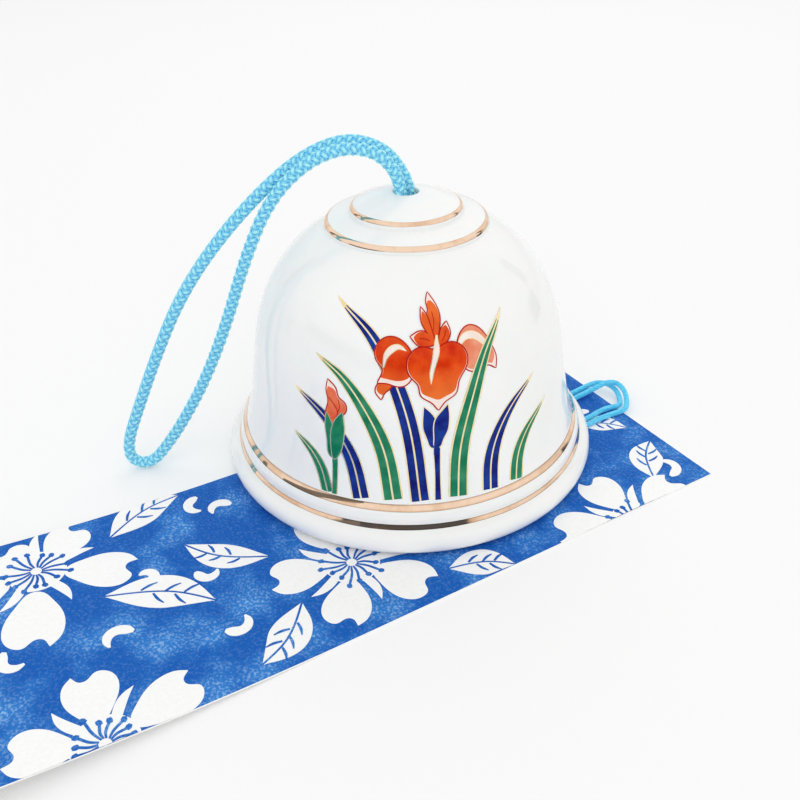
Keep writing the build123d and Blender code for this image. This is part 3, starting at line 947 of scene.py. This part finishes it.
def strands(name, node, body):
    """The doubled thin cord straight along a node, as one object."""
    low, high = (corner.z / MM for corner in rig.box(node))
    skins = []
    for side in (-thin_spacing / 2, thin_spacing / 2):
        route = [(side, 0, z) for z in np.linspace(low, high, straight_points)]
        line, _ = cord(name, route, thin_sizes, thin_twist, None, "thin_cord")
        vertices = [tuple(vertex.co) for vertex in line.data.vertices]
        skins.append((vertices, [tuple(face.vertices) for face in line.data.polygons]))
        bpy.data.objects.remove(line)
    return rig.replaces(piece(name, skins, thin_twist, body, "thin_cord"), node)


strands("clapper_strands", "clapper_cord", "clapper")
riser = strands("riser_strands", "cord_riser", None)
riser_low, riser_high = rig.box("cord_riser")
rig.blend(riser, "hanger", "clapper", start=(0, 0, riser_low.z), end=(0, 0, riser_high.z))


# Clapper
# A small turned porcelain barrel with a hole along its middle, glazed like the bell. It hangs on
# the stop knot and rings on the wall.
clapper_low, clapper_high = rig.box("clapper")
clapper_radius = clapper_high.x / MM
clapper_face, clapper_bore = 7.6, 1.6
bore_low, face_low = (clapper_bore, clapper_low.z / MM), (clapper_face, clapper_low.z / MM)
bore_high, face_high = (clapper_bore, clapper_high.z / MM), (clapper_face, clapper_high.z / MM)
clapper_profile = glazed(np.vstack([
    bulged(bore_low, face_low),
    bulged(face_low, face_high, clapper_face - clapper_radius),
    bulged(face_high, bore_high),
    bulged(bore_high, bore_low),
]))
clapper = piece("clapper_turned", [turned(clapper_profile)], porcelain, "clapper", "clapper_porcelain")
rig.replaces(clapper, "clapper")


# Paper strip
# Thin card, printed blue on its upper face with white blossoms left bare, cut to a slip and punched
# near its tied end. It lies under the bell, and its free end curls up off the table.
strip_length, strip_width, strip_thickness = 190.0, 53.5, 0.35
strip_bearing = math.radians(30.5)
hole_reach, hole_turn, hole_setback, strip_hole = 33.81, math.radians(-34.1), 19.3, 1.5
strip_end = hole_reach * math.cos(hole_turn) + hole_setback
strip_back = hole_reach * math.sin(hole_turn) + strip_width / 2
strip_flat, curl_radius = 38.0, 520.0
strip_rows, strip_columns = 121, 25
facing_up = 0.7
ink_grain = 0.5
along = Vector((math.cos(strip_bearing), math.sin(strip_bearing), 0))
across = Vector((-along.y, along.x, 0))


def on_strip(length, breadth, lift):
    """A place on the strip: millimetres from its tied end and its back edge, and above its underside."""
    length = min(max(length, 0), strip_length)
    breadth = min(max(breadth, 0), strip_width)
    reach, height = strip_end - length, lift
    if reach < -strip_flat:
        turn = (-strip_flat - reach) / curl_radius
        reach = -strip_flat - (curl_radius - lift) * math.sin(turn)
        height = curl_radius - (curl_radius - lift) * math.cos(turn)
    return tuple(along * reach + across * (strip_back - breadth) + Vector((0, 0, height)))


# Card stock is matt white with a faint fibre; the print is a mottled stencil blue.
card, tree, shader = finish_called("matt white card", Roughness=0.75, IOR=1.45, Specular_IOR_Level=0.3)
mottled(tree, shader, 0.6, 0.3, 0.7, ("#FFFFFE", "#FAFAF8"))
rippled(tree, shader, 0.3, 0.01)
print_blue, tree, shader = finish_called(
    "stencil blue print", Roughness=0.6, IOR=1.45, Specular_IOR_Level=0.15)
broad = mottled(tree, shader, 9, 0.44, 0.8, ("#105EB8", "#3E8EDC"), detail=7)
place = add(tree, "ShaderNodeTexCoord").outputs["Object"]
grain = add(tree, "ShaderNodeTexNoise", {
    "Vector": place, "Scale": 1 / (ink_grain * MM), "Detail": 6}).outputs[0]
thin_ink = add(tree, "ShaderNodeMapRange", {
    "Value": grain, "From Min": 0.48, "From Max": 0.66, "To Max": 0.85}).outputs[0]
anywhere = add(tree, "ShaderNodeMath", {0: broad, 1: 0.12}, operation="MAXIMUM").outputs[0]
bare = add(tree, "ShaderNodeMath", {0: thin_ink, 1: anywhere}, operation="MULTIPLY").outputs[0]
coloured(tree, shader, bare, "#B0D6F6")

strip_grid = [[(length, breadth) for breadth in np.linspace(0, strip_width, strip_columns)]
              for length in np.linspace(0, strip_length, strip_rows)]
strip_slab = slab(strip_grid, on_strip, strip_thickness, 0)
strip_body = piece("strip_blank", [strip_slab], card, None, "strip_paper")
strip_body.data.materials.append(print_blue)
for face in strip_body.data.polygons:
    if face.normal.z > facing_up:
        face.material_index = 1
punch_place = on_strip(hole_setback, strip_width / 2, 0)
bpy.ops.mesh.primitive_cylinder_add(radius=strip_hole * MM, depth=4 * strip_thickness * MM, vertices=32,
                                    location=Vector(punch_place) * MM)
punch = bpy.context.object
cut = strip_body.modifiers.new("punched hole", "BOOLEAN")
cut.object = punch
strip_mesh = evaluated_mesh(strip_body)
bpy.data.objects.remove(punch)
bpy.data.objects.remove(strip_body)
strip = bpy.data.objects.new("paper_strip_printed", strip_mesh)
bpy.context.scene.collection.objects.link(strip)
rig.ride(strip, "strip")
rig.slot(strip, "strip_paper")
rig.replaces(strip, "paper_strip")


# Print on the strip
# A stencil print of blossoms, leaves and curled tendrils: what is white is bare card, and stamens
# and veins are fine blue lines.
white_shapes, blue_lines = [], []
white_level, blue_level, print_step, print_sunk = 0.02, 0.07, 0.0002, 0.02
print_foot = strip_thickness - print_sunk
leaf_rib = 0.22
print_order = iter(range(1000))
draw = np.random.default_rng(11)


def print_height(level):
    """The height of the next printed shape, so that no two lie in one plane."""
    return strip_thickness + level + print_step * next(print_order)


def bare_spot(outline):
    """A white shape with a closed outline."""
    white_shapes.append(filled(outline, on_strip, print_height(white_level), print_foot))


def bare_stroke(points, **shape):
    """A white stroke."""
    white_shapes.append(slab(brushed(points, **shape), on_strip, print_height(white_level), print_foot))


def blue_stroke(points):
    """A fine blue line over the white shapes."""
    blue_lines.append(slab(brushed(points, columns=1), on_strip, print_height(blue_level), print_foot))


def turned_about(points, centre, turn):
    """Points, with any half widths, turned about the origin and moved to a centre."""
    c, s = math.cos(turn), math.sin(turn)
    return [(centre[0] + x * c - y * s, centre[1] + x * s + y * c, *half) for x, y, *half in points]


petal_outline = [
    (1.03, 0.17), (0.95, 0.26), (0.8, 0.32), (0.6, 0.29), (0.42, 0.18), (0.3, 0.05), (0.3, -0.05),
    (0.42, -0.17), (0.6, -0.28), (0.8, -0.32), (0.96, -0.24), (1.0, -0.1), (0.92, 0.02), (0.93, 0.1),
]
eye_outline = [
    (5.4, 0), (3.8, 3.8), (0, 5.4), (-3.8, 3.8), (-5.4, 0), (-3.8, -3.8), (0, -5.4), (3.8, -3.8),
]
sepal_stroke = [(4.0, 0, 0.8), (7.0, 0.4, 0.9), (9.4, 0.2, 0.55), (11.0, -0.3, 0.04)]
tendril_stroke = [
    (-1.0, 1.0, 0.35), (-0.7, 0.5, 0.85), (0.1, -0.3, 1.0), (1.1, -0.4, 0.9), (1.9, 0.3, 0.65),
    (2.1, 1.1, 0.2),
]


def blossom(centre, spin, sizes):
    """A blossom with five notched petals of given lengths, narrow sepals between them, and stamens."""
    bare_spot(outlined(turned_about(eye_outline, centre, 0)))
    for number, size in enumerate(sizes):
        turn = math.radians(spin + 72 * number) + draw.uniform(-0.06, 0.06)
        long, wide = size, (size + np.mean(sizes)) / 2 * draw.uniform(0.88, 1.0)
        bare_spot(outlined(turned_about([(x * long, y * wide) for x, y in petal_outline], centre, turn)))
        between = turn + math.radians(36)
        bare_stroke(turned_about(sepal_stroke, centre, between), columns=2)
        for side in (-0.36, 0.02, 0.38):
            far = draw.uniform(3.8, 6.0)
            thread = [(1.0, 0, 0.16), (far / 2, 0.25, 0.22), (far, 0, 0.24)]
            head = [(far - 0.2, -0.2, 0.35), (far + 0.3, 0, 0.5), (far + 0.8, 0.2, 0.3)]
            for stamen_part in (thread, head):
                blue_stroke(turned_about(stamen_part, centre, turn + side))


def leaf(root, tip, half):
    """A pointed leaf in two halves, with a bare blue rib between them and short side veins."""
    root, tip = np.array(root, float), np.array(tip, float)
    way = tip - root
    bow = np.array((-way[1], way[0])) * 0.09
    spine = [
        (*root, 0.2), (*(root + way * 0.28 + bow * 0.7), half * 0.82), (*(root + way * 0.58 + bow), half),
        (*(root + way * 0.84 + bow * 0.5), half * 0.5), (*tip, 0.1),
    ]
    bare_stroke(spine, low=0.0, gap=leaf_rib, columns=4)
    bare_stroke(spine, high=0.0, gap=leaf_rib, columns=4)
    side_way = np.array((-way[1], way[0])) / np.linalg.norm(way)
    for share, side in ((0.3, 1), (0.42, -1), (0.52, 1), (0.62, -1), (0.7, 1)):
        start = root + way * share + bow * 0.8 + side_way * side * 0.3
        end = start + unit(way) * half * 0.62 + side_way * side * half * 0.55
        blue_stroke([(*start, 0.2), (*((start + end) / 2 + side_way * side * 0.25), 0.26), (*end, 0.1)])


def tendril(centre, spin, size):
    """A curled comma of bare card."""
    stroke_points = [(x * size, y * size, half) for x, y, half in tendril_stroke]
    bare_stroke(turned_about(stroke_points, centre, math.radians(spin)), columns=3)


blossom_places = [
    ((129.6, 10.2), 80, (19, 17.5, 13, 9, 17)),
    ((77.6, 37), -14, (15.2, 15, 16, 15.5, 16)),
    ((128, 53.2), -92, (14.4, 14, 14, 14, 16.5)),
    ((23.2, 56.5), -90, (14.7, 16.9, 14, 14, 15.9)),
    ((36.6, 8), 20, (15, 15, 14, 15, 15)),
    ((166, 27), 40, (16, 15, 17, 15, 16)),
    ((184, 56), 10, (15, 15, 15, 15, 15)),
    ((187, -2), 55, (15, 15, 15, 15, 15)),
]
leaf_places = [
    ((120.1, 22.5), (103.2, 32.8), 4.0), ((115.1, 7), (99.6, 0.8), 3.8),
    ((90.6, 27.2), (103.2, 16.2), 3.1), ((90.1, 41.5), (101.4, 50.6), 3.6),
    ((11.1, 48), (2.8, 38.2), 3.5), ((12.6, 24.2), (3.6, 31.5), 2.8), ((62.6, 48), (51.6, 53.4), 3.2),
    ((143, 30), (148, 44), 3.6), ((60.6, 14), (70.6, 4), 3.6), ((151, 16), (160, 3), 3.4),
    ((177, 34), (187, 42), 3.4),
]
tendril_places = [
    ((102.3, 41.5), 200, 1.5), ((103.1, 26), 160, 1.3), ((120, 32), 20, 1.6), ((5.6, 48.6), 250, 1.7),
    ((98.1, 4.6), 80, 1.5), ((111.1, 21.5), 300, 1.1), ((8.4, 21.5), 30, 1.4), ((138.6, 30), 120, 1.5),
    ((147, 21), 60, 1.5), ((92.6, 8), 10, 1.4), ((176, 14), 200, 1.5), ((52.6, 25), 140, 1.5),
]
for place in blossom_places:
    blossom(*place)
for place in leaf_places:
    leaf(*place)
for place in tendril_places:
    tendril(*place)
blossoms = piece("strip_print_white", white_shapes, card, "strip", "strip_paper")
print_lines = piece("strip_print_lines", blue_lines, print_blue, "strip", "strip_paper")
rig.sheet(strip, flat=(strip_width * MM, strip_length * MM), held="laid",
         with_pieces=[blossoms, print_lines])


# Thin cord on the strip
# The rest of the doubled twist lies on the strip: out under the rim, round a loose loop past the
# strip's end, and back under the rim to the tie hole. The rim presses it flat.
thin_rest = 0.97
short_route = [
    (0.3, 1.0, thin_rest), (10.5, 5.6, thin_rest), (24.0, 8.4, thin_rest), (36.0, 12.6, thin_rest),
    (41.6, 16.6, 1.3), (45.6, 18.8, 1.9), (48.6, 18.2, 1.9), (50.2, 15.3, 1.7), (50.3, 12.0, 1.4),
    (49.9, 9.6, 1.1), (48.2, 9.4, 1.0), (45.1, 8.0, thin_rest), (41.0, 4.4, thin_rest),
    (34.75, 0.15, thin_rest),
]
long_route = [
    (0.9, -0.7, thin_rest), (10.8, 3.9, thin_rest), (24.5, 6.7, thin_rest), (36.8, 11.0, thin_rest),
    (42.3, 14.6, 1.4), (45.5, 15.9, 2.4), (47.8, 16.6, 3.3), (50.2, 16.4, 3.3), (51.6, 14.4, 2.6),
    (51.7, 10.9, 2.0), (50.9, 7.6, 1.4), (47.8, 6.6, 1.0), (43.9, 4.5, thin_rest), (39.6, 1.2, thin_rest),
    (35.5, -1.4, thin_rest),
]
lip_middle = rim_radius - lip_round
squeeze_gap = 0.1
cord_rest_gap = 0.02


def pressed(mesh):
    """Flatten a cord's mesh where the rim stands on it."""
    low = strip_thickness + cord_rest_gap
    high = low + thin_diameter
    for vertex in mesh.vertices:
        x, y, z = vertex.co / MM
        from_middle = math.hypot(x, y) - lip_middle
        if abs(from_middle) < lip_round:
            lip = bell_base + lip_round - math.sqrt(lip_round**2 - from_middle**2) - squeeze_gap
            share = min(1.0, (lip - low) / (high - low))
            vertex.co.z = (low + (z - low) * share) * MM


strip_cords = [("strip_cord_long", long_route, 0.0799), ("strip_cord_short", short_route, 0.0787)]
for name, route, length in strip_cords:
    thin_cord, path = cord(name, route, thin_sizes, thin_twist, "strip", "thin_cord")
    pressed(thin_cord.data)
    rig.replaces(thin_cord, "strip_cord")
    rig.cord(thin_cord, exit=path[0], length=length, diameter=thin_diameter * MM, far_end="object",
            stiffness="limp", lay="loose", path=path)

tied("strip_knot_tied", "strip_knot", thin_diameter, thin_sizes, thin_twist, "strip", "thin_cord")


# Table, light and camera
# A plain white table under two large soft lights, behind and in front, with the photograph's camera.
table_size, table_glow = 8, 0.2
studio_light = 0.84
wall_foot, wall_top, wall_rise = 0.78, 1.0, 0.3
card_reach = 0.36
bell_middle = (0, 0, 0.03)


def seen_rays(tree):
    """One for rays that show a thing to the camera, straight, mirrored or through glass, else nought."""
    rays = add(tree, "ShaderNodeLightPath").outputs
    seen = rays["Is Camera Ray"]
    for kind in ("Is Glossy Ray", "Is Transmission Ray"):
        seen = add(tree, "ShaderNodeMath", {0: seen, 1: rays[kind]}, operation="MAXIMUM").outputs[0]
    return seen


bpy.ops.mesh.primitive_plane_add(size=table_size)
table = bpy.context.object
table.name = "table"
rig.stage(table)

# The table is matt white, and glows a little where it is seen, to be as white as the studio.
white_table = bpy.data.materials.new("white table")
white_table.use_nodes = True
tree = white_table.node_tree
tree.nodes.clear()
matt = add(tree, "ShaderNodeBsdfDiffuse", {"Color": linear("#FAFAFA")})
glow = add(tree, "ShaderNodeEmission", {"Color": (1, 1, 1, 1), "Strength": 1.0})
seen = add(tree, "ShaderNodeMath", {0: seen_rays(tree), 1: table_glow}, operation="MULTIPLY")
both = add(tree, "ShaderNodeMixShader", {0: seen.outputs[0], 1: matt.outputs[0], 2: glow.outputs[0]})
add(tree, "ShaderNodeOutputMaterial", {"Surface": both.outputs[0]})
table.data.materials.append(white_table)

world = bpy.data.worlds.new("white studio")
bpy.context.scene.world = world
world.use_nodes = True
tree = world.node_tree
tree.nodes.clear()
place = add(tree, "ShaderNodeTexCoord").outputs["Generated"]
height = add(tree, "ShaderNodeSeparateXYZ", {0: place}).outputs["Z"]
walls = add(tree, "ShaderNodeMapRange", {
    "Value": height, "From Max": wall_rise, "To Min": wall_foot, "To Max": wall_top})
strength = add(tree, "ShaderNodeMix", {0: seen_rays(tree), 2: studio_light, 3: walls.outputs[0]})
sky = add(tree, "ShaderNodeBackground", {"Color": (1, 1, 1, 1), "Strength": strength.outputs[0]})
add(tree, "ShaderNodeOutputWorld", {"Surface": sky.outputs[0]})


def soft_light(name, place, towards, size, power):
    """A square area lamp at a place, turned towards a point. Glossy finishes mirror the studio alone."""
    data = bpy.data.lights.new(name, "AREA")
    data.size = size
    data.energy = power
    lamp = bpy.data.objects.new(name, data)
    lamp.location = place
    lamp.visible_glossy = False
    lamp.rotation_euler = (Vector(towards) - Vector(place)).to_track_quat("-Z", "Y").to_euler()
    bpy.context.scene.collection.objects.link(lamp)


soft_light("window", (0.08, 0.5, 0.75), bell_middle, 0.8, 1.0)
soft_light("front", (-0.02, -0.6, 0.62), bell_middle, 0.9, 1.1)


def dim_card(name, finish, bearing, rise, width, height):
    """A dim card that only glossy finishes mirror, as they mirror the room round a photograph.

    Its bearing from the front, its rise and its sizes are degrees, seen from the bell's middle."""
    bearing, rise = math.radians(bearing), math.radians(rise)
    level = math.cos(rise)
    away = Vector((math.sin(bearing) * level, -math.cos(bearing) * level, math.sin(rise)))
    bpy.ops.mesh.primitive_plane_add(size=1, location=Vector(bell_middle) + away * card_reach)
    made = bpy.context.object
    made.name = name
    made.scale = [2 * card_reach * math.tan(math.radians(size) / 2) for size in (width, height)] + [1]
    made.rotation_euler = away.to_track_quat("Z", "Y").to_euler()
    for rays in ("visible_camera", "visible_diffuse", "visible_transmission", "visible_shadow"):
        setattr(made, rays, False)
    made.data.materials.append(finish)
    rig.stage(made)


def dim_finish(name, colour):
    """A finish that glows evenly with a dim colour."""
    made = bpy.data.materials.new(name)
    made.use_nodes = True
    tree = made.node_tree
    tree.nodes.clear()
    glow = add(tree, "ShaderNodeEmission", {"Color": linear(colour)})
    add(tree, "ShaderNodeOutputMaterial", {"Surface": glow.outputs[0]})
    return made


dark, grey = dim_finish("dark room", "#545960"), dim_finish("grey stand", "#7C7D7E")
dim_card("card behind camera", dark, -3, 14, 71, 10)
dim_card("card at left", grey, -55, 17, 52, 8)
dim_card("card at right", dark, 111, 4, 13, 11)
dim_card("stand at left", grey, -120, 24, 9, 34)
dim_card("stand at right", grey, 119, 22, 7, 20)
dim_card("knob at left", grey, -97, 6, 4, 8)

camera_place = Vector((0, -158.979, 116.647)) * MM
camera_right = Vector((0.99985, 0.00089, -0.01736))
camera_up = Vector((0.01392, 0.55705, 0.83036))
camera_data = bpy.data.cameras.new("camera")
camera_data.lens = 38.81
camera_data.sensor_width = 36
camera_data.clip_start = 0.01
camera = bpy.data.objects.new("camera", camera_data)
turn = Matrix((camera_right, camera_up, camera_right.cross(camera_up))).transposed().to_4x4()
camera.matrix_world = Matrix.Translation(camera_place) @ turn
bpy.context.scene.collection.objects.link(camera)
bpy.context.scene.camera = camera
bpy.context.scene.view_settings.view_transform = "Standard"

with open("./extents.json", "w") as file:
    boxes = {"cad": [list(corner) for corner in cad_box], "visual": [list(corner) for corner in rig.bounds()]}
    json.dump(boxes, file)
